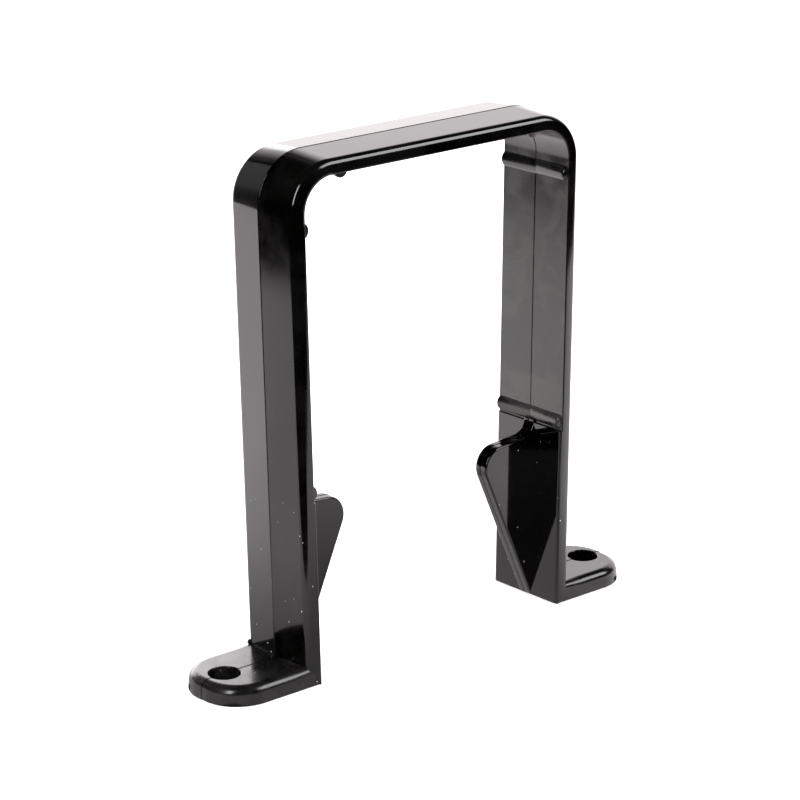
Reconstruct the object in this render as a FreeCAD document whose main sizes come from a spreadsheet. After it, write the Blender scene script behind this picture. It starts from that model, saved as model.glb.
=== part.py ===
import FreeCAD, Part
import math
import os
import Sketcher

# Clip-on bracket for a square rainwater downpipe: one strap bent over the pipe, with a
# foot turned out at each end. The wall is the plane z = 0 and the bracket stands out
# along +Z. X runs across it, from foot to foot, and the pipe runs along Y.
# The right-hand side is drawn once, in its own frame, and the left-hand side is the
# same side turned half a turn about Z.

# The whole bracket is one moulding. It is divided where its shape changes, and the
# two divisions between shoulder and leg are where the legs flex.

DRIVING_SIZES = [
    # alias, millimetres or degrees, what it is
    ("pipe_size", 65.0, "side of the square pipe"),
    ("side_play", 0.0, "gap between the legs at the wall, less the pipe"),
    ("pipe_play", 1.35, "pipe to crown beads, with the pipe on the fins' ledges"),
    ("wall_standoff", 36.0, "wall to the fins' ledges, at the legs"),
    ("lean_angle", 1.15, "each leg leans outwards from the wall up"),
    ("strap_depth", 19.5, "strap along the pipe"),
    ("strap_wall", 3.25, "strap thickness at its two long edges"),
    ("ridge_rise", 0.57, "strap is thicker by this at mid-depth, for mould draft"),
    ("edge_radius", 1.5, "outer long edges of the strap"),
    ("corner_radius", 6.8, "inside of the two bends"),
    ("foot_wall", 4.1, "foot thickness"),
    ("foot_reach", 19.45, "foot beyond the leg's outer face"),
    ("foot_tip_flat", 2.3, "straight part of the foot's tip, between its round corners"),
    ("foot_rim_radius", 1.9, "top edge of the foot"),
    ("hole_diameter", 6.5, "screw hole"),
    ("hole_inset", 6.0, "screw hole's centre from the foot's tip"),
    ("bead_rise", 0.9, "half-round beads stand in from the strap by this"),
    ("bead_width", 3.0, "width of a bead where it meets the strap"),
    ("bead_end_gap", 0.8, "bead ends short of the strap's edges"),
    ("crown_bead_inset", 2.3, "crown bead's centre from the start of the bend"),
    ("upper_bead_drop", 2.85, "upper bead's centre below the end of the bend"),
    ("lower_bead_lift", 4.4, "lower bead's centre above the ledge"),
    ("pad_wall", 0.45, "thicker lower part of each leg's inner face"),
    ("pad_gap", 0.5, "groove between that pad and the lower bead"),
    ("pad_bevel", 0.8, "pad's long edges, across the face"),
    ("fin_wall", 3.3, "catch fin thickness"),
    ("ramp_angle", 23.45, "fin's lead-in slope, from the leg's line at the wall"),
    ("nose_radius", 4.5, "fin's nose"),
    ("ledge_angle", 4.0, "ledge falls from the leg to the nose"),
    ("gusset", 2.2, "hollow corner between ledge and leg"),
]

# Places that follow from the driving sizes, as expressions on the spreadsheet.
HALF_DEPTH = "Sizes.strap_depth / 2"
HALF_GAP = "(Sizes.pipe_size / 2 + Sizes.side_play / 2)"
LEAN = "Sizes.lean_angle"
CROWN_INSIDE = "(Sizes.wall_standoff + Sizes.pipe_size + Sizes.pipe_play + Sizes.bead_rise)"
BEND_Z = f"({CROWN_INSIDE} - Sizes.corner_radius)"
BEND_X = f"({HALF_GAP} + {BEND_Z} * tan({LEAN}) - Sizes.corner_radius / cos({LEAN}))"
FOOT_TIP = f"({HALF_GAP} + Sizes.strap_wall + Sizes.foot_reach)"
FOOT_CORNER = f"({HALF_DEPTH} - Sizes.foot_tip_flat / 2)"
BEAD_CIRCLE = "((Sizes.bead_width ^ 2 / 4 + Sizes.bead_rise ^ 2) / (2 * Sizes.bead_rise))"
PAD_FOOT_X = f"({HALF_GAP} - Sizes.pad_wall / cos({LEAN}))"
LEDGE_X = f"({PAD_FOOT_X} + Sizes.wall_standoff * tan({LEAN}))"

# The same, in a leg's own frame: origin at the bend's centre, X square out of the leg's
# faces, Z up the leg.
LEG_INSIDE = "Sizes.corner_radius"
LEG_WALL_Z = f"(({HALF_GAP} - {BEND_X}) * sin({LEAN}) - {BEND_Z} * cos({LEAN}))"
LOWER_BEAD_Z = f"({LEG_WALL_Z} + (Sizes.wall_standoff + Sizes.lower_bead_lift) / cos({LEAN}))"
PAD_TOP_Z = f"({LOWER_BEAD_Z} - Sizes.bead_width / 2 - Sizes.pad_gap)"

SPARE = 3.0           # how far a trimming cut runs past the solid
SIDES = {"right": 0, "left": 180}     # turn about Z


doc = FreeCAD.newDocument("downpipe_bracket")
sizes = doc.addObject("Spreadsheet::Sheet", "Sizes")
for row, (alias, value, meaning) in enumerate(DRIVING_SIZES, start=1):
    sizes.set(f"A{row}", alias)
    sizes.set(f"B{row}", str(value))
    sizes.set(f"C{row}", meaning)
    sizes.setAlias(f"B{row}", alias)
doc.recompute()


def value_of(expression):
    return float(sizes.evalExpression(expression.replace("Sizes.", "")))


def start_body(label, turn=0, base_x="0", base_z="0", pitch="0"):
    """A body whose frame is turned about Z and, for a leg, pitched by the lean."""
    body = doc.addObject("PartDesign::Body", label)
    body.Label = label
    side = "-1" if turn else "1"
    body.setExpression(
        "Placement",
        f"placement(vector({side} * {base_x}; 0; {base_z}); rotation({turn}; {pitch}; 0))")
    return body


def start_leg_body(label, turn):
    return start_body(label, turn, BEND_X, BEND_Z, LEAN)


def origin_feature(body, role):
    return next(f for f in body.Origin.OriginFeatures if f.Role == role)


def new_sketch(body, name, role):
    sketch = body.newObject("Sketcher::SketchObject", f"{body.Label}_{name}")
    sketch.AttachmentSupport = [(origin_feature(body, role), "")]
    sketch.MapMode = "FlatFace"
    return sketch


def bind(sketch, kind, references, expression):
    """Adds a dimension to the sketch and ties it to the expression."""
    index = sketch.addConstraint(Sketcher.Constraint(kind, *references, value_of(expression)))
    name = f"{kind.lower()}_{index}"
    sketch.renameConstraint(index, name)
    sketch.setExpression(f"Constraints.{name}", expression)


def bind_point(sketch, point, corner):
    bind(sketch, "DistanceX", (-1, 1, *point), corner[0])
    bind(sketch, "DistanceY", (-1, 1, *point), corner[1])


def add_line(sketch, start, end):
    """Adds the line and returns its start and end as the sketch's own points."""
    line = sketch.addGeometry(Part.LineSegment(start, end), False)
    return (line, 1), (line, 2)


def add_arc(sketch, start, end, centre, centre_on_left):
    """The same for an arc, which a sketch always holds anticlockwise."""
    first, last = (start, end) if centre_on_left else (end, start)
    angles = [math.atan2(p.y - centre.y, p.x - centre.x) for p in (first, last)]
    if angles[1] < angles[0]:
        angles[1] += 2 * math.pi
    circle = Part.Circle(centre, FreeCAD.Vector(0, 0, 1), (start - centre).Length)
    arc = sketch.addGeometry(Part.ArcOfCircle(circle, *angles), False)
    return ((arc, 1), (arc, 2)) if centre_on_left else ((arc, 2), (arc, 1))


def add_arc_edge(sketch, start, end, radius, side):
    """An arc under half a turn, with its centre to one side of the way from start to end."""
    chord = end - start
    left = FreeCAD.Vector(-chord.y, chord.x, 0).normalize()
    offset = math.sqrt(value_of(radius) ** 2 - chord.Length ** 2 / 4)
    centre = (start + end) / 2 + left * (offset if side == "left" else -offset)
    ends = add_arc(sketch, start, end, centre, side == "left")
    bind(sketch, "Radius", (ends[0][0],), radius)
    return ends


def round_corner(before, here, after, radius):
    """Tangent points and centre of a rounded corner, and whether the way turns left there."""
    towards_before = (before - here).normalize()
    towards_after = (after - here).normalize()
    half_angle = towards_before.getAngle(towards_after) / 2
    run = radius / math.tan(half_angle)
    centre = here + (towards_before + towards_after).normalize() * (radius / math.sin(half_angle))
    turns_left = towards_before.cross(towards_after).z < 0
    return here + towards_before * run, here + towards_after * run, centre, turns_left


def draw_outline(sketch, corners):
    """A closed outline whose corners are bound to expressions.

    A corner is (x, y), (x, y, radius) where it is rounded, or (x, y, radius, side) where
    the edge that leads to it is an arc with its centre on that side."""
    count = len(corners)
    corners = [tuple(corner) + (None,) * (4 - len(corner)) for corner in corners]
    points = [FreeCAD.Vector(value_of(x), value_of(y), 0) for x, y, _, _ in corners]
    entries, exits, roundings = list(points), list(points), {}
    for i, (_, _, radius, side) in enumerate(corners):
        if radius and not side:
            entries[i], exits[i], centre, turns_left = round_corner(
                points[i - 1], points[i], points[(i + 1) % count], value_of(radius))
            roundings[i] = add_arc(sketch, entries[i], exits[i], centre, turns_left)
    arrivals, departures = [None] * count, [None] * count
    for i in range(count):
        following = (i + 1) % count
        _, _, radius, side = corners[following]
        if side:
            ends = add_arc_edge(sketch, exits[i], entries[following], radius, side)
        else:
            ends = add_line(sketch, exits[i], entries[following])
        departures[i], arrivals[following] = ends
    for i, corner in enumerate(corners):
        arriving, leaving = arrivals[i], departures[i]
        if i in roundings:
            first, last = roundings[i]
            mark = sketch.addGeometry(Part.Point(points[i]), True)
            bind_point(sketch, (mark, 1), corner)
            bind(sketch, "Radius", (first[0],), corner[2])
            for kind, references in (
                    ("Tangent", (*arriving, *first)),
                    ("Tangent", (*last, *leaving)),
                    ("PointOnObject", (mark, 1, arriving[0])),
                    ("PointOnObject", (mark, 1, leaving[0]))):
                sketch.addConstraint(Sketcher.Constraint(kind, *references))
        else:
            sketch.addConstraint(Sketcher.Constraint("Coincident", *arriving, *leaving))
            bind_point(sketch, leaving, corner)


def outline(body, name, role, corners):
    sketch = new_sketch(body, name, role)
    draw_outline(sketch, corners)
    return sketch


def pad(body, sketch, length, both_ways=False, reverse=False):
    feature = body.newObject("PartDesign::Pad", f"{body.Label}_prism")
    feature.Profile = sketch
    feature.setExpression("Length", length)
    feature.Midplane = both_ways
    feature.Reversed = reverse
    return feature


def cut_through(body, sketch):
    """Cuts the sketch's outline right through the body, both ways."""
    doc.recompute()
    before = body.Shape.Volume
    feature = body.newObject("PartDesign::Pocket", f"{sketch.Name}_cut")
    feature.Profile = sketch
    feature.Type = "ThroughAll"
    feature.Midplane = True
    doc.recompute()
    if not body.Shape.Volume < before:
        raise RuntimeError(f"{sketch.Name} cut nothing away")


def trim(body, name, role, corners):
    cut_through(body, outline(body, name, role, corners))


def strap_section(body, role, inside, outward_first):
    """The strap's section: flat inside, outside a low roof with rounded long edges."""
    outside = f"({inside} + Sizes.strap_wall)"
    corners = [
        (f"-{HALF_DEPTH}", inside, None),
        (HALF_DEPTH, inside, None),
        (HALF_DEPTH, outside, "Sizes.edge_radius"),
        ("0", f"{outside} + Sizes.ridge_rise", None),
        (f"-{HALF_DEPTH}", outside, "Sizes.edge_radius"),
    ]
    if outward_first:
        corners = [(out, along, radius) for along, out, radius in corners]
    return outline(body, "section", role, corners)


def make_crown_bar():
    body = start_body("crown_bar")
    section = strap_section(body, "YZ_Plane", CROWN_INSIDE, outward_first=False)
    pad(body, section, f"2 * {BEND_X}", both_ways=True)
    return body


def make_shoulder(side, turn):
    """The bend, turned about its own centre from the crown to the leaning leg."""
    body = start_body(f"{side}_shoulder", turn, BEND_X, BEND_Z)
    section = strap_section(body, "YZ_Plane", "Sizes.corner_radius", outward_first=False)
    bend = body.newObject("PartDesign::Revolution", f"{body.Label}_bend")
    bend.Profile = section
    bend.ReferenceAxis = (origin_feature(body, "Y_Axis"), [""])
    bend.setExpression("Angle", f"90 + {LEAN}")
    return body


def make_leg(side, turn):
    """The leg from the bend down to a mitre with the foot, and on to its top face."""
    body = start_leg_body(f"{side}_leg", turn)
    section = strap_section(body, "XY_Plane", LEG_INSIDE, outward_first=True)
    pad(body, section, f"-{LEG_WALL_Z} + {SPARE}", reverse=True)
    outside = f"({LEG_INSIDE} + Sizes.strap_wall)"
    mitre_top = (f"({LEG_WALL_Z} + Sizes.strap_wall * tan({LEAN})"
                 f" + Sizes.foot_wall / cos({LEAN}))")
    trim(body, "mitre", "XZ_Plane", [
        (f"{LEG_INSIDE} - {SPARE}", f"{LEG_WALL_Z} - {SPARE} * tan({LEAN})"),
        (LEG_INSIDE, LEG_WALL_Z),
        (outside, mitre_top),
        (f"{outside} + {SPARE}", f"{mitre_top} + {SPARE} * tan({LEAN})"),
        (f"{outside} + {SPARE}", f"{LEG_WALL_Z} - 2 * {SPARE}"),
        (f"{LEG_INSIDE} - {SPARE}", f"{LEG_WALL_Z} - 2 * {SPARE}"),
    ])
    return body


def make_foot(side, turn):
    """The foot: a plate with a round-cornered tip, a rounded rim and a screw hole."""
    body = start_body(f"{side}_foot", turn)
    screw_x = f"{FOOT_TIP} - Sizes.hole_inset"
    plan = outline(body, "plan", "XY_Plane", [
        (HALF_GAP, f"-{HALF_DEPTH}"),
        (FOOT_TIP, f"-{HALF_DEPTH}", FOOT_CORNER),
        (FOOT_TIP, HALF_DEPTH, FOOT_CORNER),
        (HALF_GAP, HALF_DEPTH),
    ])
    plate = pad(body, plan, "Sizes.foot_wall")
    doc.recompute()
    heel = value_of(HALF_GAP)
    top = value_of("Sizes.foot_wall")
    near = 0.01
    rim = body.newObject("PartDesign::Fillet", f"{body.Label}_rim")
    rim.Base = (plate, [
        f"Edge{i}" for i, edge in enumerate(plate.Shape.Edges, start=1)
        if edge.BoundBox.ZMin > top - near and edge.BoundBox.XMax > heel + near])
    rim.setExpression("Radius", "Sizes.foot_rim_radius")
    leg_face = f"({HALF_GAP} + Sizes.strap_wall / cos({LEAN}) + Sizes.foot_wall * tan({LEAN}))"
    trim(body, "mitre", "XZ_Plane", [
        (HALF_GAP, "0"),
        (leg_face, "Sizes.foot_wall"),
        (leg_face, f"Sizes.foot_wall + {SPARE}"),
        (f"{HALF_GAP} - {SPARE}", f"Sizes.foot_wall + {SPARE}"),
        (f"{HALF_GAP} - {SPARE}", "0"),
    ])
    drill(body, screw_x)
    return body


def drill(body, centre_x):
    """The screw hole, through the foot along Z."""
    sketch = new_sketch(body, "hole", "XY_Plane")
    centre = FreeCAD.Vector(value_of(centre_x), 0, 0)
    radius = value_of("Sizes.hole_diameter / 2")
    circle = sketch.addGeometry(Part.Circle(centre, FreeCAD.Vector(0, 0, 1), radius), False)
    sketch.addConstraint(Sketcher.Constraint("PointOnObject", circle, 3, -1))
    bind(sketch, "DistanceX", (-1, 1, circle, 3), centre_x)
    bind(sketch, "Diameter", (circle,), "Sizes.hole_diameter")
    cut_through(body, sketch)


def make_leg_pad(side, turn):
    """The thicker lower part of the leg's inner face, with bevelled long edges."""
    body = start_leg_body(f"{side}_leg_pad", turn)
    face = f"({LEG_INSIDE} - Sizes.pad_wall)"
    section = outline(body, "section", "XY_Plane", [
        (LEG_INSIDE, f"-{HALF_DEPTH}"),
        (LEG_INSIDE, HALF_DEPTH),
        (face, f"{HALF_DEPTH} - Sizes.pad_bevel"),
        (face, f"-{HALF_DEPTH} + Sizes.pad_bevel"),
    ])
    pad(body, section, f"-{LEG_WALL_Z} + {SPARE}", reverse=True)
    inner = f"{face} - {SPARE}"
    outer = f"{LEG_INSIDE} + {SPARE}"
    trim(body, "top", "XZ_Plane", [
        (inner, PAD_TOP_Z), (outer, PAD_TOP_Z), (outer, f"{SPARE}"), (inner, f"{SPARE}")])
    trim(body, "wall", "XZ_Plane", [
        (inner, f"{LEG_WALL_Z} - (Sizes.pad_wall + {SPARE}) * tan({LEAN})"),
        (inner, f"{LEG_WALL_Z} - 2 * {SPARE}"),
        (outer, f"{LEG_WALL_Z} - 2 * {SPARE}"),
        (outer, f"{LEG_WALL_Z} + {SPARE} * tan({LEAN})"),
    ])
    return body


def make_catch_fin(side, turn):
    """The fin at mid-depth: a lead-in ramp from the wall, a round nose and a ledge."""
    body = start_body(f"{side}_catch_fin", turn)
    nose_z = (f"(Sizes.wall_standoff * (1 - tan({LEAN}) * tan(Sizes.ledge_angle))"
              " / (1 + tan(Sizes.ramp_angle) * tan(Sizes.ledge_angle)))")
    hollow = "1.25 * Sizes.gusset"      # a little over the corner's own size, so it ends blunt
    profile = outline(body, "profile", "XZ_Plane", [
        (PAD_FOOT_X, "0"),
        (f"{LEDGE_X} + Sizes.gusset * tan({LEAN})", "Sizes.wall_standoff + Sizes.gusset"),
        (f"{LEDGE_X} - Sizes.gusset",
         "Sizes.wall_standoff - Sizes.gusset * tan(Sizes.ledge_angle)", hollow, "right"),
        (f"{PAD_FOOT_X} - {nose_z} * tan(Sizes.ramp_angle)", nose_z, "Sizes.nose_radius"),
    ])
    pad(body, profile, "Sizes.fin_wall", both_ways=True)
    return body


def make_bead(body, role, back_start, back_end, side):
    """A half-round bar across the strap, its flat back on the strap's inner face."""
    profile = outline(body, "profile", role, [
        (*back_start, BEAD_CIRCLE, side),
        back_end,
    ])
    pad(body, profile, "Sizes.strap_depth - 2 * Sizes.bead_end_gap", both_ways=True)
    return body


def make_leg_bead(label, turn, height):
    half = "Sizes.bead_width / 2"
    return make_bead(start_leg_body(label, turn), "XZ_Plane",
                     (LEG_INSIDE, f"{height} - {half}"), (LEG_INSIDE, f"{height} + {half}"), "left")


def make_crown_bead(side, turn):
    half = "Sizes.bead_width / 2"
    place = f"{BEND_X} - Sizes.crown_bead_inset"
    return make_bead(start_body(f"{side}_crown_bead", turn), "XZ_Plane",
                     (f"{place} + {half}", CROWN_INSIDE), (f"{place} - {half}", CROWN_INSIDE), "left")


def check_and_write(bodies):
    doc.recompute()
    for item in doc.Objects:
        bad = {"Invalid", "Error"} & set(item.State)
        if bad:
            raise RuntimeError(f"{item.Label}: {bad}")
    for body in bodies:
        shape = body.Shape
        if shape.isNull() or not shape.isValid() or len(shape.Solids) != 1:
            raise RuntimeError(f"{body.Label}: not one valid solid")
    os.makedirs("parts", exist_ok=True)
    for body in bodies:
        body.Shape.exportStep(f"parts/{body.Label}.step")
        print(f"{body.Label}: {body.Shape.Volume:.1f} mm3")


pieces = [make_crown_bar()]
for side, turn in SIDES.items():
    pieces += [
        make_shoulder(side, turn),
        make_leg(side, turn),
        make_foot(side, turn),
        make_leg_pad(side, turn),
        make_catch_fin(side, turn),
        make_crown_bead(side, turn),
        make_leg_bead(f"{side}_upper_bead", turn, "(-Sizes.upper_bead_drop)"),
        make_leg_bead(f"{side}_lower_bead", turn, LOWER_BEAD_Z),
    ]
check_and_write(pieces)
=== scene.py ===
import math

import bmesh
import bpy
from mathutils import Matrix, Vector


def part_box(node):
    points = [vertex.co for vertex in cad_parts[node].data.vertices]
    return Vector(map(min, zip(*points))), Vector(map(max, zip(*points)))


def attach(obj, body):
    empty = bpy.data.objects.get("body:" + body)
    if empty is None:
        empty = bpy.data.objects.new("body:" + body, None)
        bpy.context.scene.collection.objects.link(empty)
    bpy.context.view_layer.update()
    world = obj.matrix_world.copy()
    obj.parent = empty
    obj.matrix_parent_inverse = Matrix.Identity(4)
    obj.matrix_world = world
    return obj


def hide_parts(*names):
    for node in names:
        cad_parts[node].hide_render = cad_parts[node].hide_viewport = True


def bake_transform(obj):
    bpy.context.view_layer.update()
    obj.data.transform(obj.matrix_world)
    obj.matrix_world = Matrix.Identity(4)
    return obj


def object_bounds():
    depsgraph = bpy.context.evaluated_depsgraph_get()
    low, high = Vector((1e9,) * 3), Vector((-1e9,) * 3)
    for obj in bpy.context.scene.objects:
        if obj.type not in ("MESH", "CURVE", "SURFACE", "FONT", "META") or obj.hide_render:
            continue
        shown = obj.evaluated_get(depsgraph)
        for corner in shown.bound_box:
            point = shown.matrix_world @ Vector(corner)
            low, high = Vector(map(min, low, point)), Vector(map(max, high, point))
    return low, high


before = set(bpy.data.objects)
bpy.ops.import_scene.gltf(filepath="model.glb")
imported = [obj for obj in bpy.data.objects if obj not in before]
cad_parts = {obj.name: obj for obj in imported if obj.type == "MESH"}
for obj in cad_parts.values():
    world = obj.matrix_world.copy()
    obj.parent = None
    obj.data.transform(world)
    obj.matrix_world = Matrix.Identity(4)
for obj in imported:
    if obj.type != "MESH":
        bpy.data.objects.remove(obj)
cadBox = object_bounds()

mm = 0.001
boxLow, boxHigh = Vector(cadBox[0]), Vector(cadBox[1])
footLow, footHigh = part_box("right_foot")
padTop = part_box("right_leg_pad")[1].z
print("frame loaded:", len(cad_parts), "nodes")


# the strap: one section all the way round, bent twice and leaned a little
strap = {
    "lean": math.radians(1.15),       # each leg leans out towards the crown
    "insideAtWall": footLow.x,        # inner face of a leg where it meets the wall
    "halfDepth": boxHigh.y,
    "wall": 3.25 * mm,
    "ridgeRise": 0.57 * mm,           # the outer face is a low roof
    "edgeRadius": 1.5 * mm,           # outer long edges
    "innerEdge": 0.22 * mm,           # inner long edges
    "faceDraft": math.radians(7),     # the side faces turn this much before the outer edge
    "bendRadius": 6.8 * mm,
    "partingStep": 0.1 * mm,          # the back half of the mould stands this much proud
    "partingRound": 0.26 * mm,        # how far from mid-depth the proud half rounds off
    # (how far it drops, how far it is from mid-depth), in shares of that
    "partingCurve": ((0.38, 0.0), (0.22, 0.12), (0.1, 0.35), (0.02, 0.7), (0.0, 1.0)),
    "stub": 1.0 * mm,                 # the crown band runs this far down each leg
    "edgeSteps": 10,
    "faceSteps": 3,
    "innerSteps": 4,
    "bendSteps": 40,
    "legCuts": 70,
    "blendEnd": 50 * mm,              # a point this far up each leg goes with the blended pieces, which are left unattached
}
crownInside = boxHigh.z - strap["wall"] - strap["ridgeRise"]
legCos, legSin, legTan = (f(strap["lean"]) for f in (math.cos, math.sin, math.tan))
bendCornerX = strap["insideAtWall"] + crownInside * legTan
bendTangent = strap["bendRadius"] * math.tan((math.pi / 2 + strap["lean"]) / 2)
shoulderRun = crownInside / legCos - bendTangent        # up the leg to where the bend starts
legTop = shoulderRun - strap["stub"]
roofAngle = math.atan(strap["ridgeRise"] / strap["halfDepth"])
footTop = footHigh.z


def onLeg(out, along, across=0.0):
    # a point of the right leg: out from its inner face, along it from the wall
    x = strap["insideAtWall"] + out * legCos + along * legSin
    return Vector((x, across, along * legCos - out * legSin))


def upToLevel(out, level):
    # how far along the right leg a line at this distance out reaches a level
    return (level + out * legSin) / legCos


def roundedEdge(height, radius, innerEdge, roof=0.0):
    # the long edge that the strap and the feet share, as (inset, height) from the inner edge out
    draft = strap["faceDraft"]
    points = []
    for i in range(strap["innerSteps"]):
        turn = math.pi / 2 * i / strap["innerSteps"]
        points.append((innerEdge * (1 - math.sin(turn)), innerEdge * (1 - math.cos(turn))))
    middle = height - radius
    run = middle + radius * math.sin(draft) - innerEdge
    faceRadius = run / math.sin(draft)
    for i in range(strap["faceSteps"]):
        turn = draft * i / strap["faceSteps"]
        points.append((faceRadius * (1 - math.cos(turn)), innerEdge + faceRadius * math.sin(turn)))
    inset = faceRadius * (1 - math.cos(draft)) + radius * math.cos(draft)
    for i in range(strap["edgeSteps"] + 1):
        turn = draft + (math.pi / 2 - roof - draft) * i / strap["edgeSteps"]
        points.append((inset - radius * math.cos(turn), middle + radius * math.sin(turn)))
    return points


def halfSection(proud):
    # one half of the strap's section from mid-depth inside to mid-depth outside, as (out, across)
    half, soft = strap["halfDepth"], strap["partingRound"]
    sunk = 0.0 if proud else strap["partingStep"]
    crest = strap["wall"] + strap["ridgeRise"] - sunk
    edge = roundedEdge(strap["wall"] - 2 * sunk, strap["edgeRadius"], strap["innerEdge"], roofAngle)
    points = [(sunk + height, half - inset) for inset, height in edge]
    if proud:
        start = [(drop * soft, back * soft) for drop, back in strap["partingCurve"]]
        end = [(crest - drop * soft, back * soft) for drop, back in strap["partingCurve"][::-1]]
    else:
        start, end = [(sunk, 0.0)], [(crest, 0.0)]
    return start + points + end


def halfLevels(proud):
    # the height above the wall where each point of that half section meets the foot
    sunk = 0.0 if proud else strap["partingStep"]
    edge = roundedEdge(footTop - sunk, strap["edgeRadius"], strap["innerEdge"])
    ends = len(strap["partingCurve"]) if proud else 1
    return [0.0] * ends + [height for inset, height in edge] + [footTop - sunk] * ends


def wholeSection(half, proudSide):
    # both halves as one loop; the proud half is on the side with this sign
    front = [(out, -proudSide * across) for out, across in half(False)]
    back = [(out, proudSide * across) for out, across in half(True)]
    return front + back[::-1]


def addObject(name, data):
    added = bpy.data.objects.new(name, data)
    bpy.context.scene.collection.objects.link(added)
    return added


def edgeMesh(name, points, closed, swell=None):
    # a line of edges, with how large a section is to be at each of its points
    mesh = bpy.data.meshes.new(name)
    count = len(points)
    edges = [(i, (i + 1) % count) for i in range(count if closed else count - 1)]
    mesh.from_pydata([Vector(p) for p in points], edges, [])
    mesh.attributes.new("swell", "FLOAT", "POINT").data.foreach_set("value", swell or [1.0] * count)
    return addObject(name, mesh)


def addInput(tree, name, kind, value=None):
    socket = tree.interface.new_socket(name, in_out="INPUT", socket_type=kind)
    if value is not None:
        socket.default_value = value
    return socket.identifier


def buildSweepTree():
    # a section carried along a path: its corners are rounded, it is cut into short runs, and the
    # section swells where the path says
    tree = bpy.data.node_groups.new("mouldedSweep", "GeometryNodeTree")
    sockets = {
        "Path": addInput(tree, "Path", "NodeSocketGeometry"),
        "Section": addInput(tree, "Section", "NodeSocketObject"),
        "Bend Radius": addInput(tree, "Bend Radius", "NodeSocketFloat", 0.001),
        "Bend Steps": addInput(tree, "Bend Steps", "NodeSocketInt", 1),
        "Cuts": addInput(tree, "Cuts", "NodeSocketInt", 0),
        "Across": addInput(tree, "Across", "NodeSocketVector", (0, 1, 0)),
        "Material": addInput(tree, "Material", "NodeSocketMaterial"),
    }
    tree.interface.new_socket("Moulding", in_out="OUTPUT", socket_type="NodeSocketGeometry")

    def node(kind, **settings):
        made = tree.nodes.new(kind)
        for key, value in settings.items():
            setattr(made, key, value)
        return made

    def link(a, outName, b, inName):
        tree.links.new(a.outputs[outName], b.inputs[inName])

    given = node("NodeGroupInput")
    path = node("GeometryNodeMeshToCurve")
    fillet = node("GeometryNodeFilletCurve", mode="POLY")
    cut = node("GeometryNodeSubdivideCurve")
    facing = node("GeometryNodeSetCurveNormal", mode="FREE")
    sectionObject = node("GeometryNodeObjectInfo")
    section = node("GeometryNodeMeshToCurve")
    swell = node("GeometryNodeInputNamedAttribute", data_type="FLOAT")
    swell.inputs["Name"].default_value = "swell"
    sweep = node("GeometryNodeCurveToMesh")
    sweep.inputs["Fill Caps"].default_value = True
    real = node("GeometryNodeRealizeInstances")
    paint = node("GeometryNodeSetMaterial")
    done = node("NodeGroupOutput")
    link(given, "Path", path, "Mesh")
    link(path, "Curve", fillet, "Curve")
    link(given, "Bend Radius", fillet, "Radius")
    link(given, "Bend Steps", fillet, "Count")
    link(fillet, "Curve", cut, "Curve")
    link(given, "Cuts", cut, "Cuts")
    link(cut, "Curve", facing, "Curve")
    link(given, "Across", facing, "Normal")
    link(facing, "Curve", sweep, "Curve")
    link(given, "Section", sectionObject, "Object")
    link(sectionObject, "Geometry", section, "Mesh")
    link(section, "Curve", sweep, "Profile Curve")
    link(swell, "Attribute", sweep, "Scale")
    link(sweep, "Mesh", real, "Geometry")
    link(real, "Geometry", paint, "Geometry")
    link(given, "Material", paint, "Material")
    link(paint, "Geometry", done, "Moulding")
    return tree, sockets


sweepTree, sweepSockets = buildSweepTree()


def sweepAlong(name, path, section, across, material, bendRadius=1 * mm, bendSteps=1, cuts=0,
               swell=None):
    # the section is given as (out, across), the path as points; back comes a plain mesh
    host = edgeMesh(name + "Path", path, False, swell)
    outline = edgeMesh(name + "Section", [(side, -out, 0.0) for out, side in section], True)
    modifier = host.modifiers.new("sweep", "NODES")
    modifier.node_group = sweepTree
    values = {"Section": outline, "Bend Radius": bendRadius, "Bend Steps": bendSteps, "Cuts": cuts,
              "Across": across, "Material": material}
    for key, value in values.items():
        modifier[sweepSockets[key]] = value
    graph = bpy.context.evaluated_depsgraph_get()
    mesh = bpy.data.meshes.new_from_object(host.evaluated_get(graph), depsgraph=graph)
    mesh.name = name
    for helper in (host, outline):
        bpy.data.objects.remove(helper)
    return mesh


surface = {
    "merge": 0.001 * mm,                  # points closer than this become one
    "sliver": 0.0005 * mm,
    "sharpAngle": math.radians(38),
    "mostSideways": 0.5,                  # what counts as an inner face, in parts of its normal
    "leastInwards": 0.25,
}


def tidyMesh(mesh, material):
    # merged, facing outwards, smooth but for its sharp edges
    work = bmesh.new()
    work.from_mesh(mesh)
    bmesh.ops.remove_doubles(work, verts=work.verts, dist=surface["merge"])
    bmesh.ops.dissolve_degenerate(work, edges=work.edges, dist=surface["sliver"])
    bmesh.ops.recalc_face_normals(work, faces=work.faces)
    for face in work.faces:
        face.smooth = True
    for edge in work.edges:
        edge.smooth = len(edge.link_faces) == 2 and edge.calc_face_angle(0.0) < surface["sharpAngle"]
    work.to_mesh(mesh)
    work.free()
    mesh.materials.clear()
    mesh.materials.append(material)
    return mesh


def satinInside(mesh):
    # the faces of a strap band that look into the bracket were left less polished
    mesh.materials.append(satin)
    middle = Vector((0, 0, boxHigh.z / 2))
    for face in mesh.polygons:
        inwards = ((middle - face.center) * Vector((1, 0, 1))).normalized()
        inner = face.normal.dot(inwards) > surface["leastInwards"]
        face.material_index = 1 if inner and abs(face.normal.y) < surface["mostSideways"] else 0


def finishPiece(name, mesh, material, body, nodes, halfTurn=False):
    if halfTurn:
        mesh.transform(Matrix.Rotation(math.pi, 4, "Z"))
    piece = addObject(name, tidyMesh(mesh, material))
    piece.modifiers.new("evenShading", "WEIGHTED_NORMAL").keep_sharp = True
    if isinstance(body, str):
        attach(piece, body)
    else:
        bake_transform(piece)
    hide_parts(*nodes)
    return piece


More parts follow.
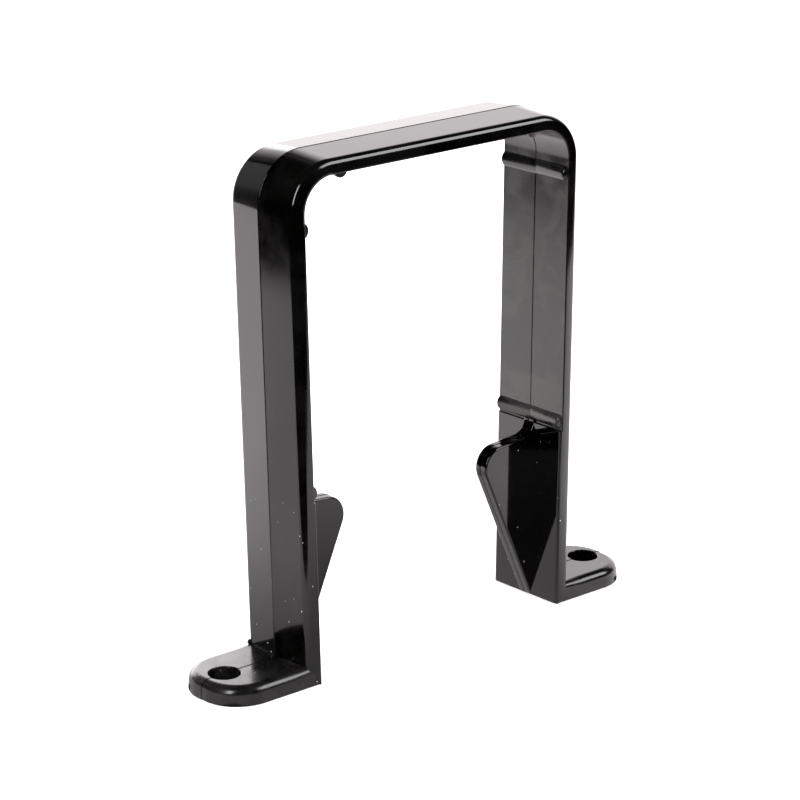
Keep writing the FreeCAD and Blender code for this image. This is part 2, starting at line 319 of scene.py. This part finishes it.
# what the materials share
def nodeMaterial(name):
    material = bpy.data.materials.new(name)
    material.use_nodes = True
    return material, material.node_tree


def mathsNode(tree, operation, first, second):
    node = tree.nodes.new("ShaderNodeMath")
    node.operation = operation
    for socket, value in zip(node.inputs, (first, second)):
        if isinstance(value, bpy.types.NodeSocket):
            tree.links.new(value, socket)
        else:
            socket.default_value = value
    return node.outputs["Value"]


def softStep(tree, value, start, end, low=0.0, high=1.0):
    # low up to the start, high past the end, and an eased change between
    node = tree.nodes.new("ShaderNodeMapRange")
    node.interpolation_type = "SMOOTHSTEP"
    for key, number in (("From Min", start), ("From Max", end), ("To Min", low), ("To Max", high)):
        node.inputs[key].default_value = number
    tree.links.new(value, node.inputs["Value"])
    return node.outputs["Result"]


# the finish: one black plastic, more or less polished by the mould
plastic = {
    "colour": (0.0005, 0.00045, 0.00045, 1),
    "filmColour": (0.019, 0.0175, 0.017, 1),       # the dull film left by handling
    "dustColour": (0.5, 0.48, 0.46, 1),
    "ior": 1.5,
    "grain": {"Scale": 1900, "Detail": 3.0},       # scales are per metre
    "waves": {"Scale": 75, "Detail": 1.5, "Distortion": 0.6},
    "smears": {"Scale": 130, "Detail": 5.0, "Distortion": 0.5},
    "dullFrom": 0.35,             # where on the smears the gloss starts and ends its change
    "dullTo": 0.75,
    "filmFrom": 0.4,
    "filmTo": 0.62,
    "dustScale": 420,
    "dustRadius": 0.075,          # share of a dust cell
    "dustFrom": 0.2,              # this share of the specks doesn't show
    "dustClear": 70 * mm,         # no dust above this height
}
# for each finish its roughness, how much that varies, the height of the grain and of the waves in
# metres, and the most that the film covers
polishes = {
    "polishedBlack": {"roughness": 0.085, "vary": 0.05, "grain": 0.5e-6, "wave": 6e-6, "film": 0.06},
    "satinBlack": {"roughness": 0.18, "vary": 0.12, "grain": 2.0e-6, "wave": 30e-6, "film": 0.9},
    "mirrorBlack": {"roughness": 0.04, "vary": 0.06, "grain": 0.3e-6, "wave": 12e-6, "film": 0.0},
    "footBlack": {"roughness": 0.17, "vary": 0.13, "grain": 2.6e-6, "wave": 14e-6, "film": 0.3},
    "beadBlack": {"roughness": 0.13, "vary": 0.09, "grain": 1.0e-6, "wave": 14e-6, "film": 0.2},
}


def dustSpecks(tree, place):
    # dust lies low on the piece, in specks that are not all as strong
    cells = tree.nodes.new("ShaderNodeTexVoronoi")
    cells.inputs["Scale"].default_value = plastic["dustScale"]
    tree.links.new(place, cells.inputs["Vector"])
    split = tree.nodes.new("ShaderNodeSeparateColor")
    tree.links.new(cells.outputs["Color"], split.inputs["Color"])
    height = tree.nodes.new("ShaderNodeSeparateXYZ")
    tree.links.new(place, height.inputs["Vector"])
    radius = plastic["dustRadius"]
    speck = softStep(tree, cells.outputs["Distance"], radius, 0.5 * radius)
    strong = softStep(tree, split.outputs["Red"], plastic["dustFrom"], 1.0)
    lowDown = softStep(tree, height.outputs["Z"], 0.0, plastic["dustClear"], 1.0, 0.0)
    return mathsNode(tree, "MULTIPLY", mathsNode(tree, "MULTIPLY", speck, strong), lowDown)


def blackPlastic(name, polish):
    material, tree = nodeMaterial(name)
    nodes, links = tree.nodes, tree.links
    shader = nodes["Principled BSDF"]
    shader.inputs["IOR"].default_value = plastic["ior"]
    place = nodes.new("ShaderNodeTexCoord").outputs["Object"]

    def noise(inputs):
        node = nodes.new("ShaderNodeTexNoise")
        links.new(place, node.inputs["Vector"])
        for key, value in inputs.items():
            node.inputs[key].default_value = value
        return node.outputs["Fac"]

    def relief(height, distance):
        node = nodes.new("ShaderNodeBump")
        node.inputs["Distance"].default_value = distance
        links.new(height, node.inputs["Height"])
        return node

    smears = noise(plastic["smears"])
    dullest = polish["roughness"] + polish["vary"]
    dull = softStep(tree, smears, plastic["dullFrom"], plastic["dullTo"], polish["roughness"], dullest)
    links.new(dull, shader.inputs["Roughness"])

    film, dusty = nodes.new("ShaderNodeMix"), nodes.new("ShaderNodeMix")
    film.data_type = dusty.data_type = "RGBA"
    film.inputs["A"].default_value = plastic["colour"]
    film.inputs["B"].default_value = plastic["filmColour"]
    dusty.inputs["B"].default_value = plastic["dustColour"]
    cover = softStep(tree, smears, plastic["filmFrom"], plastic["filmTo"], 0.0, polish["film"])
    links.new(cover, film.inputs["Factor"])
    links.new(film.outputs["Result"], dusty.inputs["A"])
    links.new(dustSpecks(tree, place), dusty.inputs["Factor"])
    links.new(dusty.outputs["Result"], shader.inputs["Base Color"])

    waves = relief(noise(plastic["waves"]), polish["wave"])
    skin = relief(noise(plastic["grain"]), polish["grain"])
    links.new(waves.outputs["Normal"], skin.inputs["Normal"])
    links.new(skin.outputs["Normal"], shader.inputs["Normal"])
    return material


finishes = {name: blackPlastic(name, polish) for name, polish in polishes.items()}
polished, satin, mirror, footSkin, beadSkin = finishes.values()
print("finishes made")


sides = {"right": 1, "left": -1}        # which half is proud, before the left side's half turn


def finishSided(side, name, mesh, material, body, node, blended=False):
    halfTurn = side == "left"
    if blended:
        shoulder, settled = onLeg(0, shoulderRun), onLeg(0, strap["blendEnd"])
        if halfTurn:
            shoulder.x, settled.x = -shoulder.x, -settled.x
        body = ("crown_body", body, shoulder, settled)
    return finishPiece(f"{side}_{name}", mesh, material, body, [f"{side}_{node}"], halfTurn)


# crown and legs
def crownBand():
    low = onLeg(0, legTop)
    corner = Vector((bendCornerX, 0, crownInside))
    flip = Vector((-1, 1, 1))
    path = [low, corner, corner * flip, low * flip]
    mesh = sweepAlong("crownBand", path, wholeSection(halfSection, 1), (0, 1, 0), polished,
                      strap["bendRadius"], strap["bendSteps"])
    nodes = ["crown_bar", "left_shoulder", "right_shoulder"]
    satinInside(finishPiece("crown_band", mesh, polished, "crown_body", nodes).data)


def legBand(side, proudSide):
    section = wholeSection(halfSection, proudSide)
    mesh = sweepAlong(f"{side}Leg", [onLeg(0, 0), onLeg(0, legTop)], section, (0, 1, 0), polished,
                      cuts=strap["legCuts"])
    levels = halfLevels(False) + halfLevels(True)[::-1]
    # the first ring follows the surface of the foot
    for i, ((out, across), level) in enumerate(zip(section, levels)):
        mesh.vertices[i].co = onLeg(out, upToLevel(out, level), across)
    satinInside(finishSided(side, "leg_band", mesh, polished, f"{side}_side", "leg", blended=True).data)


crownBand()
for side, proudSide in sides.items():
    legBand(side, proudSide)
print("strap done")


# the thicker lower part of each leg's inner face
pad = {
    "wall": 0.45 * mm,
    "round": 0.8 * mm,        # how far in its long edges are rounded
    "root": 0.3 * mm,         # set into the leg
    "top": padTop,
    "roundSteps": 8,
    "cuts": 3,
}


def padHalf(proud):
    half, sunk = strap["halfDepth"], 0.0 if proud else strap["partingStep"]
    face = -pad["wall"] + sunk
    points = [(face, 0.0)]
    for i in range(pad["roundSteps"] + 1):
        turn = math.pi / 2 * i / pad["roundSteps"]
        points.append((face * math.cos(turn), half - pad["round"] * (1 - math.sin(turn))))
    return points + [(pad["root"], half), (pad["root"], 0.0)]


def legPad(side, proudSide):
    section = wholeSection(padHalf, proudSide)
    top = upToLevel(-pad["wall"], pad["top"])
    mesh = sweepAlong(f"{side}Pad", [onLeg(0, 0), onLeg(0, top)], section, (0, 1, 0), polished,
                      cuts=pad["cuts"])
    for i, (out, across) in enumerate(section):        # the first ring stands on the wall
        mesh.vertices[i].co = onLeg(out, upToLevel(out, 0.0), across)
    finishSided(side, "leg_pad_face", mesh, mirror, f"{side}_side", "leg_pad")


# half-round beads across the strap's inner face
bead = {
    "width": 3.0 * mm,
    "rise": 0.9 * mm,
    "root": 0.12 * mm,
    "shortEnd": strap["halfDepth"] - 0.5 * mm,        # how far it reaches each way from mid-depth
    "longEnd": strap["halfDepth"] - 0.2 * mm,
    "proudSwell": 1.05,        # the proud half is this much larger
    "stepRun": 0.02 * mm,      # half the run in which it changes
    "longSlope": ((0.0, 0.8), (0.06, 0.9), (0.15, 0.97), (0.3, 1.0)),        # (mm in, swell)
    "shortSlope": ((0.0, 0.6), (0.12, 0.78), (0.3, 0.91), (0.55, 0.98), (0.85, 1.0)),
    "arcSteps": 20,
    "crownInset": 2.3 * mm,
    "upperDrop": 2.85 * mm,
    "lowerLift": 4.4 * mm,
}


def beadSection():
    halfWidth, rise = bead["width"] / 2, bead["rise"]
    radius = (halfWidth ** 2 + rise ** 2) / (2 * rise)
    spread = math.asin(halfWidth / radius)
    points = [(-bead["root"], -halfWidth)]
    for i in range(bead["arcSteps"] + 1):
        turn = spread * (2 * i / bead["arcSteps"] - 1)
        points.append((rise - radius * (1 - math.cos(turn)), radius * math.sin(turn)))
    return points + [(-bead["root"], halfWidth)]


def halfRoundBead(name, centre, across, proudSide):
    short = [(inset * mm - bead["shortEnd"], swell) for inset, swell in bead["shortSlope"]]
    long = [(bead["longEnd"] - inset * mm, swell) for inset, swell in bead["longSlope"]]
    stations = short + [(-bead["stepRun"], 1.0), (bead["stepRun"], 1.0)] + long[::-1]
    path, swells = [], []
    for y, swell in stations:
        path.append(centre + Vector((0, y, 0)))
        swells.append(swell * (bead["proudSwell"] if y * proudSide > 0 else 1.0))
    return sweepAlong(name, path, beadSection(), across, polished, swell=swells)


def strapBeads(side, proudSide):
    up = onLeg(0, 1) - onLeg(0, 0)
    lowerAlong = upToLevel(0, fin["standoff"]) + bead["lowerLift"]
    upperAlong = shoulderRun - bead["upperDrop"]
    crownX = bendCornerX - bendTangent - bead["crownInset"]
    crown = halfRoundBead("crownBead", Vector((crownX, 0, crownInside)), (-1, 0, 0), proudSide)
    upper = halfRoundBead("upperBead", onLeg(0, upperAlong), up, proudSide)
    lower = halfRoundBead("lowerBead", onLeg(0, lowerAlong), up, proudSide)
    finishSided(side, "crown_stop_bead", crown, beadSkin, "crown_body", "crown_bead")
    finishSided(side, "upper_stop_bead", upper, beadSkin, f"{side}_side", "upper_bead", blended=True)
    finishSided(side, "lower_stop_bead", lower, satin, f"{side}_side", "lower_bead")


# the catch fins: a lead-in ramp, a round nose and a ledge
fin = {
    "standoff": 36 * mm,       # the ledge is this far from the wall
    "halfWall": 1.65 * mm,
    "rampAngle": math.radians(23.45),
    "ledgeAngle": math.radians(4),
    "noseRadius": 4.5 * mm,
    "gusset": 3.3 * mm,        # it runs up to the bead above
    "edgeRound": 0.4 * mm,
    "root": 0.6 * mm,
    "noseSteps": 40,
    "gussetSteps": 14,
    "edgeSteps": 5,
}


def meet(pointA, normalA, pointB, normalB):
    # the point on both lines, each given by a point and its normal
    a, b = pointA.dot(normalA), pointB.dot(normalB)
    det = normalA.x * normalB.y - normalA.y * normalB.x
    return Vector(((a * normalB.y - b * normalA.y) / det, (normalA.x * b - normalB.x * a) / det))


def finOutline(inset):
    # the fin's edge in (x, z), drawn that far inside its full size
    ramp, ledge = fin["rampAngle"], fin["ledgeAngle"]
    face = onLeg(-pad["wall"], 0)
    rampRoot = Vector((onLeg(-pad["wall"], upToLevel(-pad["wall"], 0)).x, 0))
    ledgeRoot = onLeg(-pad["wall"], upToLevel(-pad["wall"], fin["standoff"])).xz
    rampIn = Vector((math.cos(ramp), math.sin(ramp)))
    ledgeIn = Vector((math.sin(ledge), -math.cos(ledge)))
    padOut = Vector((legCos, -legSin))
    radius, gusset = fin["noseRadius"], fin["gusset"]
    nose = meet(rampRoot + rampIn * radius, rampIn, ledgeRoot + ledgeIn * radius, ledgeIn)
    hollow = meet(ledgeRoot - ledgeIn * gusset, ledgeIn, face.xz - padOut * gusset, padOut)
    rampFoot = meet(rampRoot + rampIn * inset, rampIn, Vector((0, 0)), Vector((0, 1)))
    points = [Vector((rampRoot.x + fin["root"], 0)), rampFoot]
    start, end = math.pi + ramp, math.pi / 2 + ledge
    for i in range(fin["noseSteps"] + 1):
        turn = start + (end - start) * i / fin["noseSteps"]
        points.append(nose + (radius - inset) * Vector((math.cos(turn), math.sin(turn))))
    start, end = -math.pi / 2 + ledge, -strap["lean"]
    for i in range(fin["gussetSteps"] + 1):
        turn = start + (end - start) * i / fin["gussetSteps"]
        points.append(hollow + (gusset + inset) * Vector((math.cos(turn), math.sin(turn))))
    points.append(points[-1] + padOut * fin["root"])
    return points


def loft(name, rings):
    # closed rings of equal count joined in order, with a face on each end
    mesh = bpy.data.meshes.new(name)
    count = len(rings[0])
    faces = []
    for r in range(len(rings) - 1):
        for i in range(count):
            j = (i + 1) % count
            faces.append((r * count + i, r * count + j, (r + 1) * count + j, (r + 1) * count + i))
    last = (len(rings) - 1) * count
    faces += [tuple(range(count))[::-1], tuple(last + i for i in range(count))]
    mesh.from_pydata([p for ring in rings for p in ring], [], faces)
    return mesh


def catchFin(side, proudSide):
    layers = []
    for sign in (-1, 1):
        sunk = 0.0 if sign == proudSide else strap["partingStep"]
        edge = []
        for i in range(fin["edgeSteps"] + 1):
            turn = math.pi / 2 * i / fin["edgeSteps"]
            inset = fin["edgeRound"] * (1 - math.sin(turn)) + sunk
            edge.append((sign * (fin["halfWall"] - fin["edgeRound"] * (1 - math.cos(turn))), inset))
        blunt = strap["partingRound"] / 2        # the proud half falls off towards mid-depth
        edge += [(0.0, sunk)] if sunk else [(sign * blunt, 0.0), (0.0, blunt / 2)]
        layers += edge if sign < 0 else edge[::-1]
    rings = [[Vector((p.x, y, p.y)) for p in finOutline(inset)] for y, inset in layers]
    finishSided(side, "catch_fin_blade", loft(f"{side}Fin", rings), mirror, f"{side}_side", "catch_fin")


for side, proudSide in sides.items():
    legPad(side, proudSide)
    strapBeads(side, proudSide)
    catchFin(side, proudSide)
print("pads, beads and fins done")


# the feet: a flat top with a rounded rim, one screw hole, and a small fillet against the leg
foot = {
    "tip": footHigh.x,
    "rimRadius": 1.9 * mm,
    "rimGrow": 4.0 * mm,          # the rim widens to its full radius over this run
    "sideCrowding": 1.5,          # the points along the side crowd towards the leg
    "tipFlat": 2.3 * mm,
    "holeRadius": 3.25 * mm,
    "holeInset": 6.0 * mm,
    "lip": 0.22 * mm,
    "fillet": 0.3 * mm,
    "filletFade": 0.25,           # share of its length in which it fades out
    "sideSteps": 9,
    "cornerSteps": 28,
    "holeSteps": 40,              # round half the hole
    "lipSteps": 4,
    "filletSteps": 5,
    "filletColumns": 16,
}


def footStations(seamX, tip, corner):
    # round the foot from the leg to the middle of its tip: (x, y, normal x, normal y, growth)
    half = strap["halfDepth"]
    centre = Vector((tip - corner, half - corner))
    stations = []
    for i in range(1, foot["sideSteps"] + 1):
        share = (i / foot["sideSteps"]) ** foot["sideCrowding"]
        x = seamX + share * (centre.x - seamX)
        grow = min((x - seamX) / foot["rimGrow"], 1.0)
        stations.append((x, half, 0.0, 1.0, grow * grow * (3 - 2 * grow)))
    for i in range(1, foot["cornerSteps"] + 1):
        turn = math.pi / 2 * (1 - i / foot["cornerSteps"])
        nx, ny = math.cos(turn), math.sin(turn)
        stations.append((centre.x + corner * nx, centre.y + corner * ny, nx, ny, 1.0))
    return stations + [(tip, 0.0, 1.0, 0.0, 1.0)]


def filletRows(crest, edgeEnd, top):
    # the small fillet against the leg, from mid-depth to where it fades out at the rounded edge
    outAtEdge, acrossAtEdge = edgeEnd
    rows = []
    for i in range(foot["filletColumns"] + 1):
        share = i / foot["filletColumns"]
        out = crest + (outAtEdge - crest) * share
        size = foot["fillet"] * min(1.0, (1 - share) / foot["filletFade"])
        row = []
        for q in range(foot["filletSteps"] + 1):
            turn = math.pi / 2 * q / foot["filletSteps"]
            away = out + size * (1 - math.sin(turn))
            level = top + size * (1 - math.cos(turn))
            row.append(onLeg(away, upToLevel(away, level), acrossAtEdge * share))
        rows.append(row)
    return rows


def holeRings(top):
    # (radius, height): the lip of the hole, then the bore down to the wall
    rings = []
    for q in range(foot["lipSteps"] + 1):
        turn = math.pi / 2 * q / foot["lipSteps"]
        radius = foot["holeRadius"] + foot["lip"] * (1 - math.sin(turn))
        rings.append((radius, top - foot["lip"] * (1 - math.cos(turn))))
    return rings + [(foot["holeRadius"], 0.0)]


def bridge(work, lines):
    # faces between each line of vertices and the next
    for before, after in zip(lines, lines[1:]):
        for k in range(len(before) - 1):
            work.faces.new((before[k], after[k], after[k + 1], before[k + 1]))


def footHalf(work, sign, proud):
    # returns the lines of vertices at mid-depth, one on each side of the hole
    sunk = 0.0 if proud else strap["partingStep"]
    top, tip = footTop - sunk, foot["tip"] - sunk

    def vertices(points):
        return [work.verts.new((x, sign * y, z)) for x, y, z in points]

    ends = len(strap["partingCurve"]) if proud else 1
    edge, levels = halfSection(proud)[ends:-ends], halfLevels(proud)[ends:-ends]
    seam = [onLeg(out, upToLevel(out, level), across) for (out, across), level in zip(edge, levels)]
    columns = [vertices(seam)]
    for x, y, nx, ny, grow in footStations(seam[-1].x, tip, strap["halfDepth"] - foot["tipFlat"] / 2):
        radius = strap["edgeRadius"] + grow * (foot["rimRadius"] - strap["edgeRadius"])
        rim = roundedEdge(top, radius, strap["innerEdge"])
        columns.append(vertices([(x - nx * inset, y - ny * inset, height) for inset, height in rim]))
    bridge(work, columns)

    crest = strap["wall"] + strap["ridgeRise"] - sunk
    fillet = [vertices(row) for row in filletRows(crest, edge[-1], top)]
    bridge(work, fillet)

    holeX = foot["tip"] - foot["holeInset"]
    turns = [math.pi * i / foot["holeSteps"] for i in range(foot["holeSteps"] + 1)]
    bore = []
    for radius, height in holeRings(top):
        ring = [(holeX + radius * math.cos(turn), radius * math.sin(turn), height) for turn in turns]
        bore.append(vertices(ring))
    bridge(work, bore)

    root = work.verts.new((strap["insideAtWall"], 0.0, 0.0))
    topRim = [column[-1] for column in columns]
    bottomRim = [column[0] for column in columns]
    work.faces.new([*topRim, *bore[0], *[row[0] for row in fillet]])
    work.faces.new([*bottomRim, *bore[-1], root])
    work.faces.new([root, *columns[0], *[row[-1] for row in fillet[::-1]]])
    near = [root, *fillet[0][::-1], *[ring[-1] for ring in bore]]
    far = [*columns[-1], *[ring[0] for ring in bore]]
    return near, far


# scraps of flash: (mid point in the right foot's place, half sizes), and how lumpy they are
flash = {
    "left": (onLeg(strap["wall"] - 0.05 * mm, footTop + 0.25 * mm, 0.65 * mm - strap["halfDepth"]),
             Vector((0.6, 0.5, 0.8)) * mm),
    "right": (Vector((foot["tip"] - foot["holeInset"] + 2.2 * mm, 2.55 * mm, footTop)),
              Vector((0.3, 0.3, 0.2)) * mm),
}
lumps = {"rise": 0.25, "along": 7, "upwards": 4}


def addFlash(work, centre, size):
    scrap = bmesh.ops.create_icosphere(work, subdivisions=2, radius=1.0)
    for v in scrap["verts"]:
        reach = []
        for a, b in zip(v.co, size):
            swell = 1 + lumps["rise"] * math.sin(lumps["along"] * a + lumps["upwards"] * v.co.z)
            reach.append(a * b * swell / (1 + lumps["rise"]))
        v.co = centre + Vector(reach)


def screwFoot(side, proudSide):
    work = bmesh.new()
    halves = [footHalf(work, sign, sign == proudSide) for sign in (1, -1)]
    for lines in zip(*halves):
        bridge(work, lines)        # the step between the two halves
    addFlash(work, *flash[side])
    mesh = bpy.data.meshes.new(f"{side}Foot")
    work.to_mesh(mesh)
    work.free()
    finishSided(side, "screw_foot", mesh, footSkin, f"{side}_side", "foot")


for side, proudSide in sides.items():
    screwFoot(side, proudSide)
print("feet done")


# studio: a plain pale floor for the eye, and a paper table and soft panels for the gloss to pick up
studio = {
    "floorSize": 8.0,
    "floorColour": (0.9, 0.9, 0.9, 1),
    "floorRoughness": 0.9,
    "paperTint": (1.0, 0.937, 0.95, 1),
    "daylight": 2.8,
    "drop": 0.02 * mm,          # the floor lies this far below the feet
}
table = {
    "azimuth": math.radians(49.4),      # its length points away from the camera
    "corners": ((-0.085, -0.28), (-0.085, 0.43), (-0.03, 0.29),       # metres away and sideways
                (0.9, 0.6), (0.9, -1.1), (-0.03, -0.28)),
    "glow": 1.95,                       # at the object's middle
    "rise": 25.0,                       # brighter by this for each metre away
    "least": 1.5,
    "most": 2.6,
    "near": {"from": 20 * mm, "to": 110 * mm, "share": 0.4},       # painted shade: the object keeps light off it
    "shade": {"from": 34 * mm, "to": 54 * mm, "half": 8.5 * mm, "soft": 1 * mm},      # painted shade under the feet
}
backdrop = {
    "azimuth": math.radians(46),
    "distance": 1.3,
    "halfWidth": 1.3,
    "bottom": -0.3,
    "top": 1.5,
    "glow": 6.05,                       # at the height of the feet
    "fall": 5.0,                        # darker by this for each metre up
    "least": 0.12,
    "most": 2.2,
}
# each panel: direction from the object and half its spread in degrees, distance in metres, brightness
panels = {
    "frontSoftbox": {"at": (-46, 34), "spread": (16, 13), "distance": 1.3, "glow": 8.0},
    "leftSoftbox": {"at": (-157, 29), "spread": (7, 18), "distance": 1.3, "glow": 11.0},
    "backLight": {"at": (76, 12), "spread": (21, 15), "distance": 1.2, "glow": 2.5},
    "sideDrape": {"at": (110, 14), "spread": (12, 24), "distance": 1.3, "glow": 0.42},
}


def flatSheet(name, corners):
    mesh = bpy.data.meshes.new(name)
    mesh.from_pydata(corners, [], [tuple(range(len(corners)))])
    sheet = addObject(name, mesh)
    return sheet


def paintedNearShade(tree, place, near):
    # painted shade: the glow falls to its share at the object's middle and is back to full past the far
    # distance
    away = tree.nodes.new("ShaderNodeVectorMath")
    away.operation = "LENGTH"
    tree.links.new(place, away.inputs[0])
    return softStep(tree, away.outputs["Value"], near["from"], near["to"], near["share"], 1.0)


def paintedFootShade(tree, place, shade):
    # painted shade under the feet: 1 on the two patches that the feet stand on, 0 around them
    split = tree.nodes.new("ShaderNodeSeparateXYZ")
    tree.links.new(place, split.inputs["Vector"])
    sideways, back = (mathsNode(tree, "ABSOLUTE", split.outputs[axis], 0.0) for axis in "XY")
    start, end, half, soft = (shade[key] for key in ("from", "to", "half", "soft"))
    inner = softStep(tree, sideways, start - soft, start)
    outer = softStep(tree, sideways, end + soft, end)
    ends = softStep(tree, back, half + soft, half)
    return mathsNode(tree, "MULTIPLY", mathsNode(tree, "MULTIPLY", inner, outer), ends)


def glowMaterial(name, sheet, slope):
    # paper that glows by its place: brighter along a slope, with painted shade near the object and
    # where the feet stand on it
    material, tree = nodeMaterial(name)
    nodes, links = tree.nodes, tree.links
    nodes.clear()
    place = nodes.new("ShaderNodeTexCoord").outputs["Object"]
    rise = nodes.new("ShaderNodeVectorMath")
    rise.operation = "DOT_PRODUCT"
    rise.inputs[1].default_value = slope
    links.new(place, rise.inputs[0])
    strength = mathsNode(tree, "ADD", rise.outputs["Value"], sheet["glow"])
    strength = mathsNode(tree, "MINIMUM", strength, sheet["most"])
    strength = mathsNode(tree, "MAXIMUM", strength, sheet["least"])
    # painted shade near the object
    if "near" in sheet:
        strength = mathsNode(tree, "MULTIPLY", strength, paintedNearShade(tree, place, sheet["near"]))
    # painted shade: the glow is cut out where the feet stand on the table
    if "shade" in sheet:
        clear = mathsNode(tree, "SUBTRACT", 1.0, paintedFootShade(tree, place, sheet["shade"]))
        strength = mathsNode(tree, "MULTIPLY", strength, clear)
    glow = nodes.new("ShaderNodeEmission")
    glow.inputs["Color"].default_value = studio["paperTint"]
    done = nodes.new("ShaderNodeOutputMaterial")
    links.new(strength, glow.inputs["Strength"])
    links.new(glow.outputs["Emission"], done.inputs["Surface"])
    return material


def onlyForGloss(sheet, material):
    # reflections alone see it, so that the gloss has an edge and a falling-off to show
    sheet.data.materials.append(material)
    sheet.visible_camera = False
    sheet.visible_diffuse = False
    sheet.visible_shadow = False


def paleFloor():
    reach, level = studio["floorSize"] / 2, boxLow.z - studio["drop"]
    corners = [(x * reach, y * reach, level) for x, y in ((-1, -1), (1, -1), (1, 1), (-1, 1))]
    floor = flatSheet("floor", corners)
    material, tree = nodeMaterial("floorPaper")
    shader = tree.nodes["Principled BSDF"]
    shader.inputs["Base Color"].default_value = studio["floorColour"]
    shader.inputs["Roughness"].default_value = studio["floorRoughness"]
    floor.data.materials.append(material)
    floor.visible_glossy = False


def paperTable():
    back = Vector((math.cos(table["azimuth"]), math.sin(table["azimuth"]), 0))
    right = Vector((back.y, -back.x, 0))
    level = Vector((0, 0, boxLow.z - 2 * studio["drop"]))
    corners = [back * away + right * sideways + level for away, sideways in table["corners"]]
    material = glowMaterial("tableGlowPaintedShade", table, back * table["rise"])
    onlyForGloss(flatSheet("paperTable", corners), material)


def paperBackdrop():
    away = Vector((math.cos(backdrop["azimuth"]), math.sin(backdrop["azimuth"]), 0))
    away = away * backdrop["distance"]
    side = Vector((-away.y, away.x, 0)).normalized() * backdrop["halfWidth"]
    low, high = (Vector((0, 0, backdrop[end])) for end in ("bottom", "top"))
    corners = [away - side + low, away + side + low, away + side + high, away - side + high]
    material = glowMaterial("backdropPaper", backdrop, Vector((0, 0, -backdrop["fall"])))
    onlyForGloss(flatSheet("paperBackdrop", corners), material)


def daylight():
    world = bpy.data.worlds.new("studio")
    bpy.context.scene.world = world
    world.use_nodes = True
    background = world.node_tree.nodes["Background"]
    background.inputs["Color"].default_value = (1, 1, 1, 1)
    background.inputs["Strength"].default_value = studio["daylight"]
    world.cycles_visibility.glossy = False


def softPanel(name, panel):
    light = bpy.data.lights.new(name, "AREA")
    light.shape = "RECTANGLE"
    wide, high = (2 * panel["distance"] * math.tan(math.radians(spread)) for spread in panel["spread"])
    light.size, light.size_y = wide, high
    light.energy = panel["glow"] * math.pi * light.size * light.size_y
    holder = addObject(name, light)
    azimuth, elevation = (math.radians(degrees) for degrees in panel["at"])
    away = Vector((math.cos(azimuth) * math.cos(elevation), math.sin(azimuth) * math.cos(elevation),
                   math.sin(elevation)))
    middle = Vector((0, 0, boxHigh.z / 2))
    turn = away.to_track_quat("Z", "Y").to_matrix().to_4x4()
    holder.matrix_world = Matrix.Translation(middle + away * panel["distance"]) @ turn
    holder.visible_camera = False
    holder.visible_diffuse = False


paleFloor()
paperTable()
paperBackdrop()
daylight()
for name, panel in panels.items():
    softPanel(name, panel)
print("studio done")


# camera
lens = {
    "focal": 136.24,            # in Blender's own millimetres, for its usual sensor
    "shiftX": -0.00158,
    "shiftY": 0.00998,
    "nearest": 10 * mm,
}
view = {
    "azimuth": math.radians(-40.64),
    "elevation": math.radians(17.96),
    "roll": math.radians(-0.41),
    "distance": 630.9 * mm,
    "aim": Vector((7.8, 12.1, 43.9)) * mm,
}


def placeCamera():
    camera = bpy.data.cameras.new("camera")
    camera.lens = lens["focal"]
    camera.shift_x, camera.shift_y = lens["shiftX"], lens["shiftY"]
    camera.clip_start = lens["nearest"]
    holder = addObject("camera", camera)
    turn = (Matrix.Rotation(view["azimuth"], 4, "Z")
            @ Matrix.Rotation(math.pi / 2 - view["elevation"], 4, "X")
            @ Matrix.Rotation(view["roll"], 4, "Z"))
    back = turn @ Vector((0, 0, view["distance"]))
    holder.matrix_world = Matrix.Translation(view["aim"] + back) @ turn
    bpy.context.scene.camera = holder
    bpy.context.scene.view_settings.view_transform = "Standard"


placeCamera()
print("camera placed")
